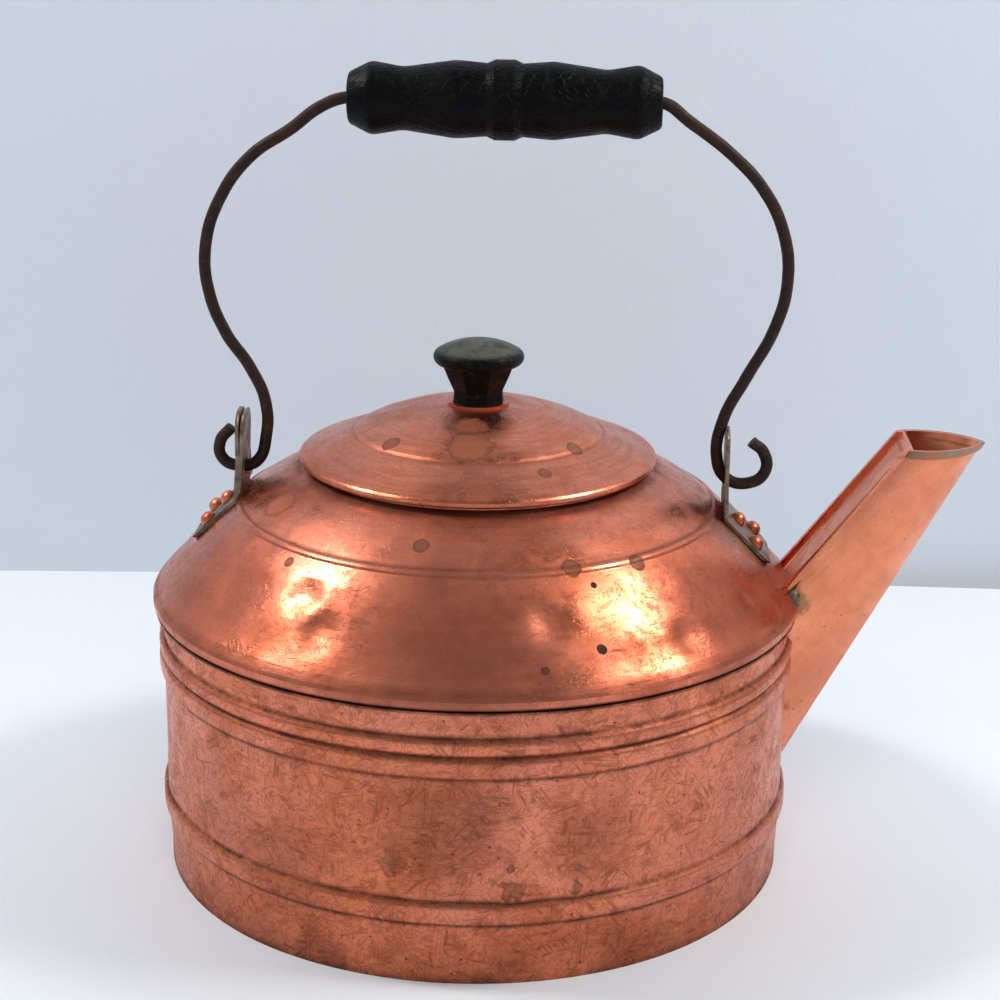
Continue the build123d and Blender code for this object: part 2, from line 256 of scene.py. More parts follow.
def effect(
    name: str, inputs: dict[str, float], outputs: tuple[str, ...] = ("Mask",)
) -> tuple[bpy.types.NodeTree, Graph, dict[str, Socket], bpy.types.Node]:
    """Starts a shader node group with named sockets.

    Args:
        name: the group's name.
        inputs: float inputs with their usual values; a Vector input is added first.
        outputs: names of the float outputs.

    Returns:
        The group, its graph, its input sockets by name and its output node.
    """
    group = bpy.data.node_groups.new(name, "ShaderNodeTree")
    group.interface.new_socket("Vector", in_out="INPUT", socket_type="NodeSocketVector")
    for socket_name, value in inputs.items():
        socket = group.interface.new_socket(socket_name, in_out="INPUT", socket_type="NodeSocketFloat")
        socket.default_value = value
    for socket_name in outputs:
        group.interface.new_socket(socket_name, in_out="OUTPUT", socket_type="NodeSocketFloat")
    graph = Graph(group)
    given = {socket.name: socket for socket in graph.node("NodeGroupInput").outputs if socket.name}
    return group, graph, given, graph.node("NodeGroupOutput")


def blotch_effect() -> bpy.types.NodeTree:
    """Cloudy patches, as on handled and heated copper.

    Returns:
        The group.
    """
    group, graph, given, out = effect("blotches", {"Scale": 20.0, "Low": 0.4, "High": 0.65})
    cloud = graph.noise(given["Vector"], given["Scale"], detail=6.0, rough=0.62, bend=0.6)
    graph.link(graph.remap(cloud, given["Low"], given["High"]), out.inputs["Mask"])
    return group


def spin_effect() -> bpy.types.NodeTree:
    """Fine lines round the axis, as a lathe or a polishing rag leaves them.

    Returns:
        The group.
    """
    slant, core = 0.8, 0.004
    group, graph, given, out = effect("spin_marks", {"Density": 900.0, "Wander": 2.0})
    x, y, z = graph.parts(given["Vector"])
    radius = graph.math("SQRT", graph.plus(graph.times(x, x), graph.times(y, y)))
    lane = graph.times(graph.plus(graph.times(radius, slant), z), given["Density"])
    east = graph.times(graph.over(x, graph.larger(radius, core)), given["Wander"])
    north = graph.times(graph.over(y, graph.larger(radius, core)), given["Wander"])
    lines = graph.noise(graph.joined(east, north, lane), 1.0, detail=3.0, rough=0.6)
    graph.link(graph.remap(lines, 0.38, 0.66), out.inputs["Mask"])
    return group


def scratch_effect() -> bpy.types.NodeTree:
    """Short thin scratches in several directions, broken up by patches.

    Returns:
        The group.
    """
    turns = (0.12, 1.35, 0.8, -0.65, 1.75)
    scratch_stretch = (230.0, 20.0, 1.0)
    patch_stretch = (95.0, 95.0, 95.0)
    patch_tilt = 0.4
    group, graph, given, out = effect("scratches", {"Scale": 1.0, "Width": 0.012, "Cover": 0.5})
    x, y, z = graph.parts(given["Vector"])
    across = graph.times(graph.math("ARCTAN2", x, graph.times(y, -1.0)), UNROLL_RADIUS)
    radius = graph.vector("LENGTH", {0: graph.joined(x, y)}, "Value")
    flat = graph.joined(across, graph.minus(z, radius))
    scaled = graph.vector("SCALE", {0: flat, "Scale": given["Scale"]})
    total: Socket | None = None
    for index, turn in enumerate(turns):
        turned = graph.stretch(scaled, (1, 1, 1), (0, 0, turn))
        place = graph.stretch(turned, scratch_stretch, move=(index, index, index))
        away = graph.gap(graph.noise(place, 1.0, detail=2.0, rough=0.5, bend=0.3), 0.5)
        patch_place = graph.stretch(scaled, patch_stretch, (index, index, patch_tilt))
        patch = graph.noise(patch_place, 1.0, detail=3.0, rough=0.6)
        shown = graph.math("GREATER_THAN", patch, given["Cover"])
        kept = graph.times(graph.near(away, given["Width"]), shown)
        total = kept if total is None else graph.larger(total, kept)
    graph.link(total, out.inputs["Mask"])
    return group


def speck_effect() -> bpy.types.NodeTree:
    """Small dark pits and specks.

    Returns:
        The group.
    """
    group, graph, given, out = effect("specks", {"Scale": 300.0, "Size": 0.12, "Share": 0.6})
    cells = graph.node("ShaderNodeTexVoronoi", {"Vector": given["Vector"], "Scale": given["Scale"]})
    draw = graph.node("ShaderNodeSeparateColor", {0: cells.outputs["Color"]}).outputs[0]
    chosen = graph.math("GREATER_THAN", draw, given["Share"])
    dot = graph.remap(graph.near(cells.outputs["Distance"], given["Size"]), 0.0, 0.5)
    graph.link(graph.times(dot, chosen), out.inputs["Mask"])
    return group


def groove_effect() -> bpy.types.NodeTree:
    """A patchy dark band along one height of a round wall: painted shade along the drum's beads and at its
    foot, and darker joints and grooves elsewhere.

    Returns:
        The group.
    """
    fall = 1.4
    group, graph, given, out = effect("groove_dirt_and_shade", {"Height": 0.0, "Reach": 0.002, "Patchy": 0.6})
    away = graph.gap(graph.parts(given["Vector"])[2], given["Height"])
    band = graph.math("POWER", graph.near(away, given["Reach"]), fall)
    patches = graph.remap(graph.noise(given["Vector"], 70.0, detail=5.0, rough=0.65), 0.34, 0.62)
    kept = graph.plus(graph.times(patches, given["Patchy"]), graph.minus(1.0, given["Patchy"]))
    graph.link(graph.times(band, kept), out.inputs["Mask"])
    return group


def stain_effect() -> bpy.types.NodeTree:
    """One stain round a point, darker at its rim, with a ragged edge.

    Returns:
        The group.
    """
    edge_at, rim_at, rim_reach = 0.95, 0.86, 0.2
    usual = {"X": 0.0, "Y": 0.0, "Z": 0.0, "Radius": 0.004, "Rag": 0.4, "Soft": 0.12}
    group, graph, given, out = effect("stain", usual, ("Mask", "Rim"))
    centre = graph.joined(given["X"], given["Y"], given["Z"])
    away = graph.vector("DISTANCE", {0: given["Vector"], 1: centre}, "Value")
    rough_edge = graph.noise(given["Vector"], 330.0, detail=4.0, rough=0.6)
    rag = graph.times(graph.minus(rough_edge, 0.5), given["Rag"])
    share = graph.plus(graph.over(away, given["Radius"]), rag)
    low, high = graph.plus(edge_at, given["Soft"]), graph.minus(edge_at, given["Soft"])
    graph.link(graph.remap(share, low, high), out.inputs["Mask"])
    graph.link(graph.near(graph.gap(share, rim_at), rim_reach), out.inputs["Rim"])
    return group


EFFECTS = {
    "blotches": blotch_effect(),
    "spin": spin_effect(),
    "scratches": scratch_effect(),
    "specks": speck_effect(),
    "groove": groove_effect(),
    "stain": stain_effect(),
}


class Coat:
    """One material of the kettle while it is wired."""

    def __init__(self, name: str) -> None:
        """Starts an empty material that reads the piece's own coordinates.

        Args:
            name: the material's name.
        """
        self.material = bpy.data.materials.new(name)
        self.material.use_nodes = True
        self.material.node_tree.nodes.clear()
        self.graph = Graph(self.material.node_tree)
        self.place = self.graph.node("ShaderNodeTexCoord").outputs["Object"]

    def use(self, effect_name: str, output: str = "Mask", **values: float) -> Socket:
        """Places a shared effect.

        Args:
            effect_name: its name in EFFECTS.
            output: which of its outputs is wanted.
            values: its inputs by name.

        Returns:
            The output.
        """
        inputs = {"Vector": self.place, **values}
        return self.graph.node("ShaderNodeGroup", inputs, node_tree=EFFECTS[effect_name]).outputs[output]

    def shaded(
        self, colour: Socket, metal: Value, rough: Socket, height: Socket, specular: float = 0.5
    ) -> bpy.types.Material:
        """Adds the bump, the shader and the output.

        Args:
            colour: the base colour.
            metal: how metallic it is.
            rough: the roughness.
            height: the height of the bump, in metres.
            specular: the specular level.

        Returns:
            The finished material.
        """
        bump = self.graph.node("ShaderNodeBump", {"Height": height, "Strength": 1.0, "Distance": 1.0})
        inputs = {"Base Color": colour, "Metallic": metal, "Roughness": rough, "Normal": bump.outputs["Normal"]}
        shader = self.graph.node("ShaderNodeBsdfPrincipled", inputs)
        shader.inputs["Specular IOR Level"].default_value = specular
        out = self.graph.node("ShaderNodeOutputMaterial")
        self.graph.link(shader.outputs[0], out.inputs["Surface"])
        return self.material


def on_turn(turn: float, radius: float, height: float) -> Vector:
    """A point on a round wall.

    Args:
        turn: degrees from the front towards the spout side.
        radius: distance from the axis in mm.
        height: height in mm.

    Returns:
        The point in metres.
    """
    angle = math.radians(turn)
    return Vector((radius * math.sin(angle), -radius * math.cos(angle), height)) * MM


@dataclass(frozen=True)
class Stain:
    """A tarnish mark at one place. Its radius is in mm."""

    place: Vector
    radius: float
    colour: Colour
    strength: float = 0.8
    rag: float = 0.5
    soft: float = 0.12
    rim: float = 0.6

    def inputs(self) -> dict[str, float]:
        """The values that the stain effect takes.

        Returns:
            The inputs by name.
        """
        x, y, z = self.place
        return {"X": x, "Y": y, "Z": z, "Radius": self.radius * MM, "Rag": self.rag, "Soft": self.soft}


@dataclass(frozen=True)
class CopperFinish:
    """Aged copper: colours, polish marks, dark bands along grooves (painted shade on the drum) and stains. Bump
    heights are in metres, grooves in mm.
    """

    name: str
    bright: Colour = (0.74, 0.225, 0.125)
    deep: Colour = (0.36, 0.085, 0.042)
    pink: Colour = (0.84, 0.30, 0.205)
    brown: Colour = (0.05, 0.013, 0.008)
    patch_scale: float = 26.0
    patch_share: float = 0.6
    cloud_finer: float = 3.4
    cloud_share: float = 0.16
    flush_coarser: float = 0.55
    flush_share: float = 0.45
    rough: float = 0.27
    rough_spread: float = 0.16
    spin: float = 0.3
    spin_density: float = 1500.0
    spin_depth: float = 0.000008
    scratch: float = 0.15
    scratch_cover: float = 0.52
    scratch_depth: float = 0.00002
    scratch_rough: float = 0.15
    fine_share: float = 0.7
    specks: float = 0.5
    wave_scale: float = 38.0
    wave_height: float = 0.0006
    ripple_scale: float = 420.0
    ripple_height: float = 0.000012
    dirt_and_shade_patchy: float = 0.55
    dirt_and_shade_rough: float = 0.35
    dirt_and_shade_dull: float = 0.45
    grooves: tuple[tuple[float, float, float], ...] = ()
    stains: tuple[Stain, ...] = ()

    def soiled_and_shaded(self, coat: Coat, colour: Socket) -> tuple[Socket, Socket | None]:
        """Lays the dark bands at the groove heights, painted shade on the drum, and the stains over the copper.

        Args:
            coat: the material.
            colour: the colour of the copper.

        Returns:
            The colour with its dark bands and stains, and the mask of both where there is any.
        """
        graph = coat.graph
        dirt_and_shade: Socket | None = None
        # Dark bands at set heights; on the drum they are painted shade along the beads and at the foot.
        for height, reach, strength in self.grooves:
            dark_band = coat.use("groove", Height=height * MM, Reach=reach * MM, Patchy=self.dirt_and_shade_patchy)
            line = graph.times(dark_band, strength)
            dirt_and_shade = line if dirt_and_shade is None else graph.larger(dirt_and_shade, line)
        if dirt_and_shade is not None:
            colour = graph.mix(dirt_and_shade, colour, self.brown)
        for stain in self.stains:
            inside = graph.times(coat.use("stain", **stain.inputs()), stain.strength)
            colour = graph.mix(inside, colour, stain.colour)
            rim = coat.use("stain", "Rim", **stain.inputs())
            colour = graph.layer(rim, stain.strength * stain.rim, colour, self.brown)
            dirt_and_shade = inside if dirt_and_shade is None else graph.larger(dirt_and_shade, inside)
        return colour, dirt_and_shade

    def make(self) -> bpy.types.Material:
        """Builds the material.

        Returns:
            The material.
        """
        coat = Coat(self.name)
        graph, use = coat.graph, coat.use
        patches = use("blotches", Scale=self.patch_scale, Low=0.38, High=0.64)
        clouds = use("blotches", Scale=self.patch_scale * self.cloud_finer, Low=0.42, High=0.66)
        flush = use("blotches", Scale=self.patch_scale * self.flush_coarser, Low=0.45, High=0.6)
        spin = use("spin", Density=self.spin_density, Wander=2.5)
        coarse = use("scratches", Scale=1.0, Width=0.022, Cover=self.scratch_cover + 0.06)
        fine = use("scratches", Scale=2.2, Width=0.035, Cover=self.scratch_cover)
        marks = graph.larger(coarse, graph.times(fine, self.fine_share))
        speck = use("specks", Scale=330.0, Size=0.2, Share=0.88)
        colour: object = self.bright
        for mask, share, tint in (
            (patches, self.patch_share, self.deep),
            (flush, self.flush_share, self.pink),
            (clouds, self.cloud_share, self.deep),
            (spin, self.spin, self.deep),
            (marks, self.scratch, self.brown),
            (speck, self.specks, self.brown),
        ):
            colour = graph.layer(mask, share, colour, tint)
        colour, dirt_and_shade = self.soiled_and_shaded(coat, colour)
        rough = graph.plus(self.rough, graph.times(clouds, self.rough_spread))
        rough = graph.plus(rough, graph.times(marks, self.scratch_rough))
        metal: Value = 1.0
        if dirt_and_shade is not None:
            rough = graph.plus(rough, graph.times(dirt_and_shade, self.dirt_and_shade_rough), clamp=True)
            metal = graph.minus(1.0, graph.times(dirt_and_shade, self.dirt_and_shade_dull))
        waves = graph.noise(coat.place, self.wave_scale, detail=2.0, rough=0.4)
        ripples = graph.noise(coat.place, self.ripple_scale, detail=3.0, rough=0.5)
        height = graph.plus(graph.times(waves, self.wave_height), graph.times(ripples, self.ripple_height))
        height = graph.minus(height, graph.times(marks, self.scratch_depth))
        height = graph.plus(height, graph.times(spin, self.spin_depth))
        return coat.shaded(colour, metal, rough, height)


@dataclass(frozen=True)
class CoatedFinish:
    """A dark or dull finish: tinned sheet, rusted iron, solder or crackled paint. Heights are in metres."""

    name: str
    base: Colour
    second: Colour
    worn: Colour
    patch_scale: float
    rough: float
    metallic: float
    crackle: float = 0.0
    crack_scale: float = 260.0
    crack_width: float = 0.09
    crack_depth: float = 0.00018
    crack_rough: float = 0.2
    grain_height: float = 0.0002
    pit_height: float = 0.00012
    pit_scale: float = 520.0
    patch_rough: float = 0.14
    wear_finer: float = 2.6
    worn_share: float = 0.3
    specular: float = 0.5
    worn_above: float | None = None
    worn_blend: float = 0.8

    def make(self) -> bpy.types.Material:
        """Builds the material.

        Returns:
            The material.
        """
        coat = Coat(self.name)
        graph, use, place = coat.graph, coat.use, coat.place
        patches = use("blotches", Scale=self.patch_scale, Low=0.4, High=0.62)
        wear = use("blotches", Scale=self.patch_scale * self.wear_finer, Low=0.53, High=0.68)
        colour = graph.mix(patches, self.base, self.second)
        colour = graph.layer(wear, self.worn_share, colour, self.worn)
        if self.worn_above is not None:
            low, high = (self.worn_above - self.worn_blend) * MM, (self.worn_above + self.worn_blend) * MM
            top = graph.remap(graph.parts(place)[2], low, high)
            rubbed = graph.remap(use("blotches", Scale=150.0, Low=0.3, High=0.6), 0.0, 1.0, 0.45, 1.0)
            colour = graph.layer(top, rubbed, colour, self.worn)
        cells = graph.node(
            "ShaderNodeTexVoronoi",
            {"Vector": graph.stretch(place, (1.0, 1.6, 1.6)), "Scale": self.crack_scale, "Randomness": 1.0},
            feature="DISTANCE_TO_EDGE",
        )
        crack = graph.remap(cells.outputs["Distance"], 0.0, self.crack_width, 1.0, 0.0)
        crack = graph.times(crack, use("blotches", Scale=60.0, Low=0.36, High=0.56))
        grain = graph.noise(graph.stretch(place, (60.0, 420.0, 420.0)), 1.0, detail=4.0, rough=0.6)
        height = graph.times(graph.noise(place, self.pit_scale, detail=4.0, rough=0.6), self.pit_height)
        height = graph.minus(height, graph.times(crack, self.crackle * self.crack_depth))
        height = graph.plus(height, graph.times(grain, self.crackle * self.grain_height))
        rough = graph.plus(self.rough, graph.times(patches, self.patch_rough))
        rough = graph.plus(rough, graph.times(crack, self.crack_rough * self.crackle), clamp=True)
        return coat.shaded(colour, self.metallic, rough, height, self.specular)


# Shared tools for meshes


def select_only(piece: bpy.types.Object) -> None:
    """Makes the piece the only selected and active object."""
    bpy.ops.object.select_all(action="DESELECT")
    piece.select_set(True)
    bpy.context.view_layer.objects.active = piece


def finish_piece(piece: bpy.types.Object, material: bpy.types.Material, body: Body) -> None:
    """Dresses a new piece and ties it to the frame.

    Args:
        piece: the new object.
        material: its finish.
        body: the body that it moves with.
    """
    piece.data.materials.clear()
    piece.data.materials.append(material)
    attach(piece, body.value)
    log.info("%s rides on %s", piece.name, body.value)


def smoothed_copy(node: str, smooth_angle: float = 35.0) -> bpy.types.Object:
    """A merged and smooth-shaded copy of a CAD node, which it then replaces.

    Args:
        node: the CAD node's name.
        smooth_angle: edges that turn less than this many degrees are shaded smooth.

    Returns:
        The new object.
    """
    select_only(frame["nodes"][node])
    bpy.ops.object.duplicate()
    piece = bpy.context.active_object
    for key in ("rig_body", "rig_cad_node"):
        if key in piece:
            del piece[key]
    piece.parent = None
    piece.name = f"{node}_sheet"
    bpy.ops.object.mode_set(mode="EDIT")
    bpy.ops.mesh.select_all(action="SELECT")
    bpy.ops.mesh.remove_doubles(threshold=CAD_MERGE)
    bpy.ops.object.mode_set(mode="OBJECT")
    bpy.ops.object.shade_smooth_by_angle(angle=math.radians(smooth_angle))
    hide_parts(node)
    return piece


@dataclass(frozen=True)
class Dent:
    """A shallow press into a sheet, or a rise where its depth is negative. Sizes are in mm."""

    place: Vector
    radius: float
    depth: float


def spun_piece(name: str, outline: list[Pair], rounds: float, steps: int = 288) -> bpy.types.Object:
    """A sheet spun round the axis from its outside line.

    Args:
        name: the piece's name.
        outline: (radius, height) pairs in mm, from one rim to the other, closer where dents need them.
        rounds: how far each corner is rounded off, in mm.
        steps: how many steps make the full turn.

    Returns:
        The new object, one layer thick.
    """
    bpy.ops.object.select_all(action="DESELECT")
    bpy.ops.mesh.primitive_circle_add(vertices=len(outline), radius=MM)
    piece = bpy.context.active_object
    piece.name = name
    for vertex, (radius, height) in zip(piece.data.vertices, outline):
        vertex.co = (radius * MM, 0.0, height * MM)
    bpy.ops.object.mode_set(mode="EDIT")
    bpy.ops.mesh.select_all(action="DESELECT")
    bpy.ops.object.mode_set(mode="OBJECT")
    last = len(outline) - 1
    for edge in piece.data.edges:
        edge.select = set(edge.vertices) == {0, last}
    bpy.ops.object.mode_set(mode="EDIT")
    bpy.ops.mesh.select_mode(type="EDGE")
    bpy.ops.mesh.delete(type="EDGE_FACE")
    bpy.ops.mesh.select_mode(type="VERT")
    bpy.ops.mesh.select_all(action="SELECT")
    bpy.ops.mesh.bevel(offset=rounds * MM, segments=3, affect="VERTICES", clamp_overlap=True)
    bpy.ops.mesh.select_all(action="SELECT")
    bpy.ops.mesh.spin(steps=steps, angle=FULL_TURN, center=(0, 0, 0), axis=(0, 0, 1), use_auto_merge=True)
    bpy.ops.mesh.select_all(action="SELECT")
    bpy.ops.mesh.remove_doubles(threshold=NEW_MERGE)
    bpy.ops.mesh.normals_make_consistent(inside=False)
    bpy.ops.object.mode_set(mode="OBJECT")
    return piece


def filled_line(points: list[Pair], gap: float) -> list[Pair]:
    """The same line with points added on its long runs.

    Args:
        points: (radius, height) pairs in mm.
        gap: the longest run that is left, in mm.

    Returns:
        The fuller line.
    """
    line = [points[0]]
    for (x0, z0), (x1, z1) in zip(points, points[1:]):
        count = max(1, math.ceil(math.hypot(x1 - x0, z1 - z0) / gap))
        line += [(x0 + (x1 - x0) * i / count, z0 + (z1 - z0) * i / count) for i in range(1, count + 1)]
    return line


def press_dents(piece: bpy.types.Object, dents: tuple[Dent, ...], ripple: float, fade: Pair) -> None:
    """Presses dents into a spun sheet and lets it wander a little, as hand-worked copper does.

    Args:
        piece: the sheet.
        dents: the dents, each along the surface's own normal.
        ripple: how far the sheet wanders, in mm.
        fade: heights in mm at which the wandering starts and ends.
    """
    mesh = piece.data
    normals = [vertex.normal.copy() for vertex in mesh.vertices]
    low, high = fade[0] * MM, fade[1] * MM
    rise = 5 * MM
    coarse, fine, fine_share = 28.0, 75.0, 0.3
    for vertex, normal in zip(mesh.vertices, normals):
        above, below = (vertex.co.z - low) / rise, (high - vertex.co.z) / rise
        inside = min(1.0, max(0.0, above)) * min(1.0, max(0.0, below))
        wander = noise.noise(vertex.co * coarse) * ripple + noise.noise(vertex.co * fine) * ripple * fine_share
        shift = -abs(wander) * inside * MM
        for dent in dents:
            away = (vertex.co - dent.place).length / (dent.radius * MM)
            if away < 1.0:
                shift -= dent.depth * MM * (1 - away * away) ** 2
        vertex.co += normal * shift


def give_thickness(piece: bpy.types.Object, sheet: float, smooth_angle: float = 40.0) -> None:
    """Gives a one-layer piece its sheet thickness, inwards, and smooth shading.

    Args:
        piece: the piece.
        sheet: thickness in mm.
        smooth_angle: edges that turn less than this many degrees are shaded smooth.
    """
    select_only(piece)
    solid = piece.modifiers.new("sheet", "SOLIDIFY")
    solid.thickness = sheet * MM
    solid.offset = -1.0
    solid.use_even_offset = True
    bpy.ops.object.modifier_apply(modifier=solid.name)
    bpy.ops.object.shade_smooth_by_angle(angle=math.radians(smooth_angle))


# The kettle's sub-assemblies

BROWN_SPOT: Colour = (0.13, 0.05, 0.025)
BLACK_SPOT: Colour = (0.02, 0.012, 0.01)
OLIVE: Colour = (0.20, 0.16, 0.07)
GREY_STAIN: Colour = (0.12, 0.10, 0.08)
DRUM_CLOUD: Colour = (0.17, 0.045, 0.022)
SHOULDER_CLOUD: Colour = (0.15, 0.036, 0.022)


@dataclass
class Drum:
    """The banded drum wall and its bottom. Sizes are in mm."""

    radius: float = 113.8
    foot_radius: float = 113.2
    foot_straight: float = 6.0
    proud: float = 1.7
    bead_slope: float = 1.9
    foot_bead: Pair = (21.7, 8.6)
    wide_bead: Pair = (74.0, 8.0)
    narrow_bead: Pair = (82.0, 6.5)
    top: float = 98.4
    flange_radius: float = 117.4
    sheet: float = 0.8
    slot: Slot = Slot.DRUM

    def bead(self, low: float, width: float) -> list[Pair]:
        """The two shoulders of a raised band."""
        proud = self.radius + self.proud
        return [(proud, low + self.bead_slope), (proud, low + width - self.bead_slope)]

    def outline(self) -> list[Pair]:
        """The outside line of the wall, from the foot up.

        Returns:
            (radius, height) pairs in mm.
        """
        return [
            (self.foot_radius, 0.0),
            (self.foot_radius, self.foot_straight),
            (self.radius, self.foot_bead[0]),
            *self.bead(*self.foot_bead),
            (self.radius, sum(self.foot_bead)),
            (self.radius, self.wide_bead[0]),
            *self.bead(*self.wide_bead),
            (self.radius, sum(self.wide_bead)),
            *self.bead(*self.narrow_bead),
            (self.radius, sum(self.narrow_bead)),
            (self.radius, self.top),
            (self.flange_radius, self.top),
        ]

    def dents(self) -> tuple[Dent, ...]:
        """The knocks in the wall.

        Returns:
            The dents.
        """
        return (
            Dent(on_turn(-10, self.radius, 43), 13, 1.5),
            Dent(on_turn(9.8, self.radius, 43), 7, 1.1),
            Dent(on_turn(10, self.radius, 34), 9, 1.7),
            Dent(on_turn(20.6, self.radius, 34), 8, 1.4),
            Dent(on_turn(-38, self.radius, 52), 22, 0.7),
            Dent(on_turn(44, self.radius, 60), 24, 0.6),
            Dent(on_turn(-70, self.radius, 38), 18, 0.8),
            Dent(on_turn(150, self.radius, 50), 26, 0.9),
            Dent(on_turn(215, self.radius, 58), 20, 0.8),
        )

    def finish(self) -> bpy.types.Material:
        """The drum's crazed copper, with painted shade along its beads and at its foot.

        Returns:
            The material.
        """
        foot, wide, narrow = self.foot_bead, self.wide_bead, self.narrow_bead
        heights = (foot[0], sum(foot), wide[0], sum(wide), sum(narrow))
        return CopperFinish(
            "crazed_copper",
            rough=0.3,
            bright=(0.78, 0.235, 0.12),
            deep=(0.42, 0.105, 0.047),
            scratch=0.5,
            scratch_cover=0.5,
            spin=0.12,
            specks=0.7,
            patch_share=0.6,
            # Painted shade: dark lines along the edges of the beads and darkening towards the foot; a dark band
            # also runs at the joint under the shoulder's rim.
            grooves=(
                *((height, 1.7, 0.95) for height in heights),
                (0.0, 7.0, 0.85),
                (0.0, 26.0, 0.45),
                (self.top, 3.0, 0.95),
            ),
            stains=(
                Stain(on_turn(-2, self.radius, 57), 20.0, DRUM_CLOUD, 0.42, 0.8, 0.6, 0.0),
                Stain(on_turn(24, self.radius, 50), 14.0, DRUM_CLOUD, 0.35, 0.8, 0.6, 0.0),
                Stain(on_turn(-30, self.radius, 36), 18.0, DRUM_CLOUD, 0.3, 0.8, 0.6, 0.0),
                Stain(on_turn(10, self.radius, 35), 4.5, BROWN_SPOT, 0.5, 1.8),
                Stain(on_turn(-10, self.radius, 43), 5.0, BROWN_SPOT, 0.3, 2.0),
                Stain(on_turn(20.6, self.radius, 34), 3.0, BROWN_SPOT, 0.5, 1.6),
                Stain(on_turn(9.8, self.radius, 43), 2.6, BROWN_SPOT, 0.5, 1.6),
            ),
        ).make()

    def build(self) -> None:
        """Builds and dresses the drum."""
        finish = self.finish()
        wall = spun_piece("drum_wall_sheet", filled_line(self.outline(), 3.0), 0.45)
        press_dents(wall, self.dents(), 0.25, (8.0, self.top - 4.0))
        give_thickness(wall, self.sheet)
        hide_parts("drum_wall")
        finish_piece(wall, finish, Body.KETTLE)
        base = smoothed_copy("drum_base")
        finish_piece(base, finish, Body.KETTLE)


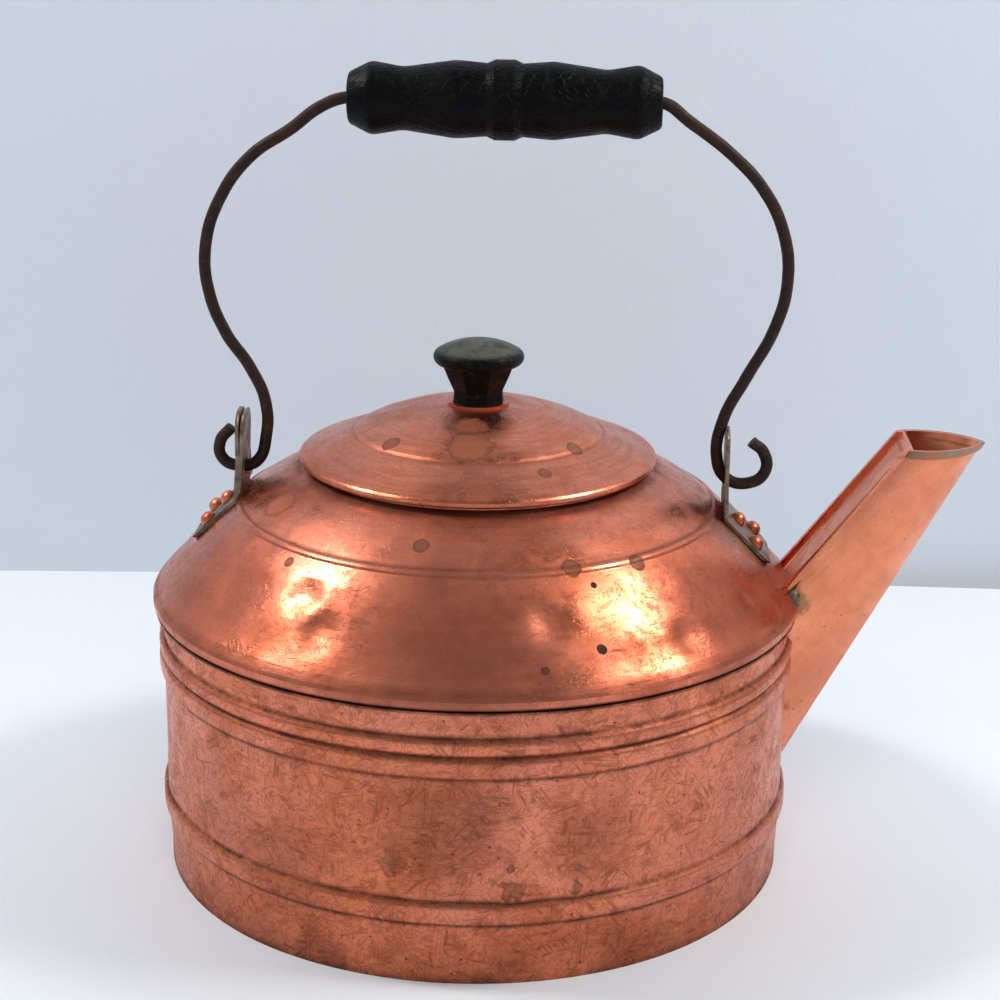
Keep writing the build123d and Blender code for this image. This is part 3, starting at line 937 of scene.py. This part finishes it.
@dataclass
class Shoulder:
    """The spun shoulder with its rolled rim, and the filling neck. Sizes are in mm."""

    rim_radius: float = 118.0
    rim_seat: float = 99.2
    rim_height: float = 3.6
    hem: float = 3.0
    slope: float = 46.5
    slope_run: float = 21.0
    crown: float = 92.0
    ring_radius: float = 86.6
    ring_half: float = 1.3
    ring_proud: float = 0.5
    neck_radius: float = 60.8
    sheet: float = 0.8
    slot: Slot = Slot.SHOULDER

    def height(self, radius: float) -> float:
        """Height of the outside at a distance from the axis.

        Args:
            radius: the distance in mm.

        Returns:
            The height in mm.
        """
        lean = math.radians(self.slope)
        rim_top = self.rim_seat + self.rim_height
        start = self.rim_radius - self.slope_run
        if radius > start:
            return rim_top + (self.rim_radius - radius) * math.tan(lean)
        centre_x = start - self.crown * math.sin(lean)
        centre_z = rim_top + self.slope_run * math.tan(lean) - self.crown * math.cos(lean)
        return centre_z + math.sqrt(self.crown**2 - (radius - centre_x) ** 2)

    def outline(self) -> list[Pair]:
        """The outside line from the hem under the rim up to the neck.

        Returns:
            (radius, height) pairs in mm.
        """
        rim_top = self.rim_seat + self.rim_height
        line = [
            (self.rim_radius - self.hem, self.rim_seat),
            (self.rim_radius - 0.6, self.rim_seat),
            (self.rim_radius, self.rim_seat + 0.8),
            (self.rim_radius, rim_top - 0.6),
            (self.rim_radius - 0.9, rim_top + 0.7),
        ]
        radius = self.rim_radius - 3.0
        while radius > self.neck_radius:
            away = abs(radius - self.ring_radius) / self.ring_half
            lift = self.ring_proud * max(0.0, 1.0 - away * away)
            line.append((radius + lift * 0.6, self.height(radius) + lift * 0.8))
            radius -= 0.65 if away < 2.4 else 2.2
        line.append((self.neck_radius, self.height(self.neck_radius)))
        return line

    def spot(self, turn: float, radius: float) -> Vector:
        """A point on the outside."""
        return on_turn(turn, radius, self.height(radius))

    def dents(self) -> tuple[Dent, ...]:
        """The knocks in the shoulder.

        Returns:
            The dents.
        """
        return (
            Dent(self.spot(-32, 97.5), 9, 0.9),
            Dent(self.spot(-25.8, 105.4), 10, 1.2),
            Dent(self.spot(17.3, 100.2), 9, 1.0),
            Dent(self.spot(43.7, 109.0), 9, 1.1),
            Dent(self.spot(30, 97.0), 13, 0.35),
            Dent(self.spot(-50, 100.0), 14, 0.4),
            Dent(self.spot(5, 92.0), 20, 0.25),
            Dent(self.spot(60, 95.0), 12, 0.4),
            Dent(self.spot(150, 98.0), 16, 0.6),
            Dent(self.spot(200, 92.0), 18, 0.5),
        )

    def finish(self) -> bpy.types.Material:
        """The shoulder's polished and stained copper.

        Returns:
            The material.
        """
        rim_top = self.rim_seat + self.rim_height
        return CopperFinish(
            "stained_copper",
            bright=(0.70, 0.20, 0.11),
            deep=(0.37, 0.085, 0.045),
            rough=0.23,
            spin=0.22,
            scratch=0.3,
            scratch_cover=0.56,
            specks=0.35,
            patch_share=0.7,
            grooves=(
                (self.height(self.ring_radius - self.ring_half), 0.9, 0.55),
                (self.height(64.4), 2.6, 0.75),
                (rim_top + 1.2, 2.2, 0.55),
                (rim_top + 10.0, 9.0, 0.32),
                (self.rim_seat, 1.4, 0.8),
            ),
            stains=(
                Stain(self.spot(-10.3, 77.5), 3.0, BROWN_SPOT, 0.75, 0.5),
                Stain(self.spot(24.7, 85.8), 3.7, BROWN_SPOT, 0.7, 0.6),
                Stain(self.spot(41.0, 87.9), 3.2, BROWN_SPOT, 0.75, 0.5),
                Stain(self.spot(-40.6, 90.7), 2.0, BROWN_SPOT, 0.7, 0.6),
                Stain(self.spot(28.4, 91.6), 1.2, BLACK_SPOT, 0.95, 0.3),
                Stain(self.spot(25.8, 107.5), 1.9, BLACK_SPOT, 0.95, 0.7),
                Stain(self.spot(15.0, 111.2), 1.5, BLACK_SPOT, 0.8, 0.5),
                Stain(self.spot(-60.7, 76.1), 7.0, (0.33, 0.10, 0.05), 0.6, 0.5),
                Stain(self.spot(81.8, 96.8), 8.0, OLIVE, 0.6, 1.3, 0.4, 0.2),
                Stain(self.spot(76.0, 91.0), 7.0, GREY_STAIN, 0.5, 1.3, 0.4, 0.2),
                Stain(self.spot(-2.0, 104.0), 34.0, SHOULDER_CLOUD, 0.62, 0.7, 0.6, 0.0),
                Stain(self.spot(52.0, 104.0), 22.0, SHOULDER_CLOUD, 0.55, 0.7, 0.6, 0.0),
                Stain(self.spot(-58.0, 108.0), 20.0, (0.20, 0.05, 0.03), 0.45, 0.7, 0.6, 0.0),
            ),
        ).make()

    def build(self) -> None:
        """Builds and dresses the shoulder and neck."""
        finish = self.finish()
        dome = spun_piece("shoulder_dome_sheet", self.outline(), 0.05)
        press_dents(dome, self.dents(), 0.3, (self.rim_seat + 6.0, self.height(66.0)))
        give_thickness(dome, self.sheet, 60.0)
        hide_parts("shoulder_dome")
        finish_piece(dome, finish, Body.KETTLE)
        neck = smoothed_copy("filling_neck")
        finish_piece(neck, finish, Body.KETTLE)


@dataclass
class Spout:
    """The folded spout, its top strip, mouth band and solder. Sizes are in mm."""

    slot: Slot = Slot.SPOUT
    mouth_height: float = 160.0
    solder_place: Colour = (115.0, -12.6, 103.2)
    solder_radius: float = 3.2
    solder_stretch: Colour = (0.9, 1.5, 1.2)
    solder_lumps: float = 0.35
    lump_scale: float = 420.0

    def finish(self) -> bpy.types.Material:
        """The spout's copper, browned along its seams.

        Returns:
            The material.
        """
        return CopperFinish(
            "spout_copper",
            bright=(0.90, 0.31, 0.165),
            deep=(0.62, 0.175, 0.085),
            rough=0.26,
            spin=0.06,
            scratch=0.1,
            scratch_cover=0.6,
            specks=0.45,
            patch_share=0.5,
            grooves=((self.mouth_height - 2.6, 1.0, 0.7),),
            stains=(
                Stain(Vector((115.0, -13.0, 102.0)) * MM, 6.0, OLIVE, 0.6, 1.2, 0.3, 0.2),
                Stain(Vector((114.0, -9.0, 84.0)) * MM, 3.5, BROWN_SPOT, 0.5, 1.2, 0.3, 0.2),
                Stain(Vector((114.0, -6.0, 60.0)) * MM, 3.0, BROWN_SPOT, 0.5, 1.2, 0.3, 0.2),
            ),
        ).make()

    def solder_blob(self, finish: bpy.types.Material) -> None:
        """The lump of solder where the strip meets the shoulder.

        Args:
            finish: its material.
        """
        bpy.ops.object.select_all(action="DESELECT")
        bpy.ops.mesh.primitive_uv_sphere_add(segments=24, ring_count=14, radius=self.solder_radius * MM)
        blob = bpy.context.active_object
        blob.name = "spout_solder"
        centre = Vector(self.solder_place) * MM
        for vertex in blob.data.vertices:
            point = Vector([part * by for part, by in zip(vertex.co, self.solder_stretch)])
            vertex.co = centre + point * (1 + self.solder_lumps * noise.noise(point * self.lump_scale))
        bpy.ops.object.shade_smooth()
        finish_piece(blob, finish, Body.KETTLE)

    def build(self) -> None:
        """Builds and dresses the spout."""
        finish = self.finish()
        solder = CoatedFinish(
            "old_solder", (0.20, 0.185, 0.15), (0.10, 0.09, 0.055), (0.34, 0.30, 0.24),
            patch_scale=160.0, rough=0.45, metallic=0.75, pit_height=0.0002,
        ).make()
        smeared = CoatedFinish(
            "smeared_solder", (0.30, 0.20, 0.145), (0.50, 0.19, 0.11), (0.36, 0.33, 0.28),
            patch_scale=170.0, rough=0.35, metallic=0.9, worn_share=0.6,
        ).make()
        for node in ("spout_body", "spout_top_strip"):
            finish_piece(smoothed_copy(node, 28.0), finish, Body.KETTLE)
        finish_piece(smoothed_copy("spout_mouth_band", 28.0), smeared, Body.KETTLE)
        self.solder_blob(solder)


@dataclass
class Ears:
    """The two riveted ears."""

    slot: Slot = Slot.TIN
    plates: tuple[str, ...] = ("ear_left", "ear_right")
    rivets: tuple[str, ...] = ("ear_left_rivets", "ear_right_rivets")

    def build(self) -> None:
        """Builds and dresses the ears and rivets."""
        tin = CoatedFinish(
            "browned_tin", (0.26, 0.20, 0.155), (0.13, 0.085, 0.055), (0.45, 0.33, 0.25),
            patch_scale=110.0, rough=0.4, metallic=0.85, worn_share=0.5,
        ).make()
        copper = CopperFinish(
            "rivet_copper", rough=0.3, spin=0.0, scratch=0.2, patch_scale=90.0, wave_height=0.0
        ).make()
        for node in self.plates:
            finish_piece(smoothed_copy(node, 30.0), tin, Body.KETTLE)
        for node in self.rivets:
            finish_piece(smoothed_copy(node, 40.0), copper, Body.KETTLE)


@dataclass
class Bail:
    """The hooked wire and its turned grip. Sizes are in mm."""

    wire_radius: float = 2.2
    rust_scale: float = 260.0
    rust_depth: float = 0.12
    left_run: tuple[Pair, ...] = (
        (-89.6, 158.5), (-94.0, 153.0), (-93.4, 146.8), (-87.0, 144.0), (-80.6, 146.0), (-77.2, 155.0),
        (-77.2, 168.5), (-82.5, 181.0), (-91.0, 193.5), (-96.8, 209.0), (-97.4, 225.0), (-92.0, 241.5),
        (-81.0, 256.5), (-66.0, 266.8), (-55.5, 274.6), (-46.5, 277.8),
    )
    right_run: tuple[Pair, ...] = (
        (63.0, 277.8), (72.0, 271.6), (86.5, 261.0), (98.5, 248.6), (106.0, 234.0), (108.4, 217.0),
        (104.8, 200.0), (95.5, 181.5), (88.0, 166.0), (86.2, 152.0), (89.6, 144.4), (97.5, 142.4),
        (103.6, 146.6), (103.0, 154.0), (98.4, 158.0),
    )

    def smooth_wire(self) -> bpy.types.Object:
        """The wire as one smooth hand-bent line.

        Returns:
            The new object.
        """
        bpy.ops.object.select_all(action="DESELECT")
        bpy.ops.curve.primitive_bezier_curve_add()
        wire = bpy.context.active_object
        wire.name = "bail_wire_bent"
        run = self.left_run + self.right_run
        spline = wire.data.splines[0]
        spline.bezier_points.add(len(run) - len(spline.bezier_points))
        for point, (x, z) in zip(spline.bezier_points, run):
            point.co = (x * MM, 0.0, z * MM)
            point.handle_left_type = point.handle_right_type = "AUTO"
        wire.data.resolution_u = 10
        wire.data.bevel_depth = self.wire_radius * MM
        wire.data.bevel_resolution = 6
        wire.data.use_fill_caps = True
        bpy.ops.object.convert(target="MESH")
        wire = bpy.context.active_object
        bpy.ops.object.mode_set(mode="EDIT")
        bpy.ops.mesh.select_all(action="SELECT")
        bpy.ops.mesh.remove_doubles(threshold=NEW_MERGE)
        bpy.ops.mesh.normals_make_consistent(inside=False)
        bpy.ops.object.mode_set(mode="OBJECT")
        bpy.ops.object.shade_smooth_by_angle(angle=math.radians(50.0))
        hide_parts("bail_wire")
        return wire

    def weathered(self, piece: bpy.types.Object, scale: float, depth: float) -> None:
        """Lets a piece's surface waver inwards, as worn wood and rusted wire do.

        Args:
            piece: the piece.
            scale: how fine the waver is.
            depth: how deep it is, in mm.
        """
        mesh = piece.data
        normals = [vertex.normal.copy() for vertex in mesh.vertices]
        for vertex, normal in zip(mesh.vertices, normals):
            vertex.co -= normal * (0.5 + 0.5 * noise.noise(vertex.co * scale)) * depth * MM

    def build(self) -> None:
        """Builds and dresses the bail."""
        iron = CoatedFinish(
            RUSTED_IRON, (0.022, 0.014, 0.012), (0.042, 0.019, 0.012), (0.12, 0.06, 0.04),
            patch_scale=130.0, rough=0.5, metallic=0.4, pit_height=0.00022, worn_share=0.35, specular=0.3,
        ).make()
        paint = CoatedFinish(
            "crackled_paint", (0.0012, 0.0015, 0.0022), (0.003, 0.0028, 0.0033), (0.02, 0.012, 0.01),
            patch_scale=90.0, rough=0.34, metallic=0.0,
            crackle=1.0, pit_height=0.0003, worn_share=0.2, specular=0.09,
        ).make()
        wire = self.smooth_wire()
        self.weathered(wire, self.rust_scale, self.rust_depth)
        finish_piece(wire, iron, Body.BAIL)
        grip = smoothed_copy("bail_grip", 30.0)
        finish_piece(grip, paint, Body.GRIP)


@dataclass
class Lid:
    """The loose lid with its collar, knob, washer, screw and nut. Sizes are in mm."""

    radius: float = 64.4
    edge_low: float = 149.834
    edge_height: float = 2.4
    hem: float = 1.8
    cone_rise: float = 7.6
    step_radius: float = 44.0
    step_height: float = 1.2
    top_rise: float = 8.8
    flat_radius: float = 12.5
    sheet: float = 0.8
    knob_edge: float = 0.5
    knob_edge_turn: float = 25.0
    knob_worn_above: float = 189.6
    slot: Slot = Slot.LID

    def outline(self) -> list[Pair]:
        """The outside line from the hem under the edge up to the flat at the knob.

        Returns:
            (radius, height) pairs in mm.
        """
        cone_low = self.edge_low + self.edge_height
        cone_high = cone_low + self.cone_rise
        step_top = cone_high + self.step_height
        top = step_top + self.top_rise
        middle = ((self.step_radius + self.flat_radius) / 2, top - 0.3 * self.top_rise)
        line = [
            (self.radius - self.hem, self.edge_low),
            (self.radius - 0.5, self.edge_low),
            (self.radius, self.edge_low + 0.6),
            (self.radius, cone_low - 0.5),
            (self.radius - 0.7, cone_low + 0.25),
            *filled_line([(self.radius - 2.0, cone_low + 0.8), (self.step_radius + 2.2, cone_high - 0.4)], 2.2),
            (self.step_radius + 1.1, cone_high + 0.1),
            (self.step_radius, step_top - 0.1),
        ]
        for share in (0.12, 0.24, 0.36, 0.48, 0.6, 0.72, 0.84, 0.94):
            left = (1 - share) ** 2
            both = 2 * share * (1 - share)
            bow = 2 * middle[1] - (step_top + top) / 2
            line.append((
                left * self.step_radius + both * middle[0] + share**2 * self.flat_radius,
                left * step_top + both * bow + share**2 * top,
            ))
        line += [(self.flat_radius, top), (8.0, top), (2.0, top)]
        return line

    def finish(self) -> bpy.types.Material:
        """The lid's copper, with spinning marks and stains.

        Returns:
            The material.
        """
        cone_high = self.edge_low + self.edge_height + self.cone_rise
        return CopperFinish(
            "lid_copper",
            rough=0.25,
            spin=0.34,
            scratch=0.2,
            scratch_cover=0.56,
            specks=0.3,
            patch_share=0.55,
            grooves=((cone_high, 0.9, 0.55), (self.edge_low, 1.6, 0.7)),
            stains=(
                Stain(on_turn(-44, 41.5, 162.3), 3.6, BROWN_SPOT, 0.7, 0.6),
                Stain(on_turn(-3, 25.2, 168.3), 6.5, (0.24, 0.07, 0.035), 0.7, 1.0),
                Stain(on_turn(-0.8, 37.1, 164.4), 9.0, (0.26, 0.08, 0.04), 0.75, 0.9),
                Stain(on_turn(54, 43.8, 161.1), 3.4, BROWN_SPOT, 0.7, 0.6),
                Stain(on_turn(30, 51.4, 157.3), 2.6, BROWN_SPOT, 0.6, 0.6),
            ),
        ).make()

    def build(self) -> None:
        """Builds and dresses the lid."""
        finish = self.finish()
        dome = spun_piece("lid_dome_sheet", self.outline(), 0.05, 240)
        dents = (
            Dent(on_turn(-25, 55.0, 156.0), 12, 0.3),
            Dent(on_turn(40, 35.0, 165.0), 12, 0.3),
            Dent(on_turn(170, 50.0, 158.0), 14, 0.4),
        )
        press_dents(dome, dents, 0.2, (self.edge_low + 3.0, 172.0))
        give_thickness(dome, self.sheet, 60.0)
        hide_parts("lid_dome")
        finish_piece(dome, finish, Body.LID)
        for node in ("lid_collar", "knob_washer"):
            finish_piece(smoothed_copy(node), finish, Body.LID)
        iron = bpy.data.materials[RUSTED_IRON]
        for node in ("knob_screw", "knob_nut"):
            finish_piece(smoothed_copy(node), iron, Body.LID)
        knob_paint = CoatedFinish(
            "worn_paint", (0.0015, 0.0015, 0.002), (0.004, 0.0036, 0.0035), (0.085, 0.085, 0.075),
            patch_scale=120.0, rough=0.36, metallic=0.0,
            crackle=0.7, pit_height=0.0002, worn_share=0.16, specular=0.1, worn_above=self.knob_worn_above,
        ).make()
        knob = smoothed_copy("lid_knob", 25.0)
        select_only(knob)
        edge = knob.modifiers.new("worn_edges", "BEVEL")
        edge.width = self.knob_edge * MM
        edge.segments = 2
        edge.limit_method = "ANGLE"
        edge.angle_limit = math.radians(self.knob_edge_turn)
        bpy.ops.object.modifier_apply(modifier=edge.name)
        bpy.ops.object.shade_smooth_by_angle(angle=math.radians(35.0))
        finish_piece(knob, knob_paint, Body.LID)


# The studio


WARM_LIGHT: Colour = (1.0, 0.94, 0.84)
SOFT_LIGHT: Colour = (1.0, 0.98, 0.96)


@dataclass(frozen=True)
class Panel:
    """A soft area lamp. Lengths are in metres, its power in watts."""

    name: str
    place: Colour
    aim: Colour
    size: Pair
    power: float
    colour: Colour = WARM_LIGHT
    in_gloss: bool = True

    def hang(self) -> None:
        """Adds the lamp and aims it."""
        data = bpy.data.lights.new(self.name, "AREA")
        data.shape = "RECTANGLE"
        data.size, data.size_y = self.size
        data.energy = self.power
        data.color = self.colour
        lamp = bpy.data.objects.new(self.name, data)
        bpy.context.scene.collection.objects.link(lamp)
        lamp.location = self.place
        lamp.rotation_euler = (Vector(self.aim) - Vector(self.place)).to_track_quat("-Z", "Y").to_euler()
        lamp.visible_glossy = self.in_gloss


@dataclass
class Studio:
    """Floor, wall, lamps and camera. Lengths are in metres, turns in degrees."""

    floor_half: float = 2.4
    wall_distance: float = 0.30
    wall_turn: float = 3.6
    wall_height: float = 2.6
    wall_drop: float = 0.3
    floor_colour: Colour = (0.74, 0.80, 0.89)
    wall_colour: Colour = (0.61, 0.68, 0.77)
    room_colour: Colour = (0.50, 0.51, 0.53)
    ceiling_colour: Colour = (0.20, 0.195, 0.19)
    ceiling_fade: Pair = (0.2, 0.85)
    panels: tuple[Panel, ...] = (
        Panel("left_panel", (-0.80, 0.0, 1.05), (0, 0, 0.12), (0.20, 0.22), 6.5),
        Panel("right_panel", (0.78, -0.05, 0.95), (0, 0, 0.12), (0.34, 0.24), 6.6),
        Panel("front_panel", (0.1, -2.2, 2.4), (0, 0, 0.1), (2.0, 1.4), 26.0, SOFT_LIGHT, in_gloss=False),
    )
    camera_turn: float = 3.5
    camera_distance: float = 0.7494
    camera_height: float = 0.3657
    aim_right: float = 0.628
    pitch_down: float = 17.23
    roll: float = 0.723
    lens: float = 77.4
    sensor: float = 36.0

    def plain(self, name: str, colour: Colour) -> bpy.types.Material:
        """A matt painted surface with a faint grain.

        Args:
            name: the material's name.
            colour: its colour.

        Returns:
            The material.
        """
        grain_share, shade, paint_rough, grain_depth = 0.12, 0.9, 0.75, 0.001
        material = bpy.data.materials.new(name)
        material.use_nodes = True
        graph = Graph(material.node_tree)
        shader = material.node_tree.nodes["Principled BSDF"]
        place = graph.node("ShaderNodeTexCoord").outputs["Object"]
        grain = graph.noise(place, 60.0, detail=5.0, rough=0.6)
        tint = graph.layer(grain, grain_share, colour, tuple(shade * part for part in colour))
        graph.link(tint, shader.inputs["Base Color"])
        shader.inputs["Roughness"].default_value = paint_rough
        pores = {"Height": graph.noise(place, 350.0), "Strength": 0.15, "Distance": grain_depth}
        graph.link(graph.node("ShaderNodeBump", pores).outputs["Normal"], shader.inputs["Normal"])
        return material

    def see_through_back(self, material: bpy.types.Material) -> bpy.types.Material:
        """Leaves only the wall's front in sight, so that views from behind aren't blocked.

        Args:
            material: the wall's material.

        Returns:
            The same material.
        """
        graph = Graph(material.node_tree)
        shader = material.node_tree.nodes["Principled BSDF"]
        out = material.node_tree.nodes["Material Output"]
        behind = graph.node("ShaderNodeNewGeometry").outputs["Backfacing"]
        clear = graph.node("ShaderNodeBsdfTransparent").outputs[0]
        sides = graph.node("ShaderNodeMixShader", {0: behind, 1: shader.outputs[0], 2: clear})
        graph.link(sides.outputs[0], out.inputs["Surface"])
        return material

    def sheet(self, name: str, place: Colour, material: bpy.types.Material) -> bpy.types.Object:
        """A large plain square.

        Args:
            name: the sheet's name.
            place: its middle.
            material: its material.

        Returns:
            The new object.
        """
        bpy.ops.object.select_all(action="DESELECT")
        bpy.ops.mesh.primitive_plane_add(size=2 * self.floor_half, location=place)
        square = bpy.context.active_object
        square.name = name
        square.data.materials.append(material)
        return square

    def surfaces(self) -> None:
        """The table top and the wall behind it."""
        paint = self.see_through_back(self.plain("pale_wall", self.wall_colour))
        table = self.plain("white_table", self.floor_colour)
        floor = self.sheet("floor", (0, self.wall_distance - self.floor_half, 0), table)
        wall = self.sheet("wall", (0, self.wall_distance, self.wall_height / 2 - self.wall_drop), paint)
        wall.rotation_euler = (math.pi / 2, 0, math.radians(self.wall_turn))

    def lights(self) -> None:
        """Soft room light with two brighter panels overhead and a wide one in front."""
        world = bpy.data.worlds.new("room")
        bpy.context.scene.world = world
        world.use_nodes = True
        graph = Graph(world.node_tree)
        back = world.node_tree.nodes["Background"]
        up = graph.parts(graph.node("ShaderNodeTexCoord").outputs["Generated"])[2]
        shade = graph.mix(graph.remap(up, *self.ceiling_fade), self.room_colour, self.ceiling_colour)
        graph.link(shade, back.inputs["Color"])
        back.inputs["Strength"].default_value = 1.0
        for panel in self.panels:
            panel.hang()

    def camera(self) -> None:
        """The camera at the photograph's place."""
        turn = math.radians(self.camera_turn)
        data = bpy.data.cameras.new("camera")
        data.lens = self.lens
        data.sensor_width = self.sensor
        camera = bpy.data.objects.new("camera", data)
        bpy.context.scene.collection.objects.link(camera)
        heading = Matrix.Rotation(turn - math.radians(self.aim_right), 4, "Z")
        pitch = Matrix.Rotation(math.radians(90.0 - self.pitch_down), 4, "X")
        roll = Matrix.Rotation(math.radians(self.roll), 4, "Z")
        place = Matrix.Translation((
            self.camera_distance * math.sin(turn),
            -self.camera_distance * math.cos(turn),
            self.camera_height,
        ))
        camera.matrix_world = place @ heading @ pitch @ roll
        bpy.context.scene.camera = camera

    def build(self) -> None:
        """Sets the studio up."""
        bpy.context.scene.view_settings.view_transform = "Standard"
        self.surfaces()
        self.lights()
        self.camera()


def main() -> None:
    """Builds the kettle and its studio."""
    logging.basicConfig(level=logging.INFO, format="%(name)s: %(message)s")
    for assembly in (Drum(), Shoulder(), Spout(), Ears(), Bail(), Lid(), Studio()):
        assembly.build()
        log.info("%s built", type(assembly).__name__)


if __name__ == "__main__":
    main()
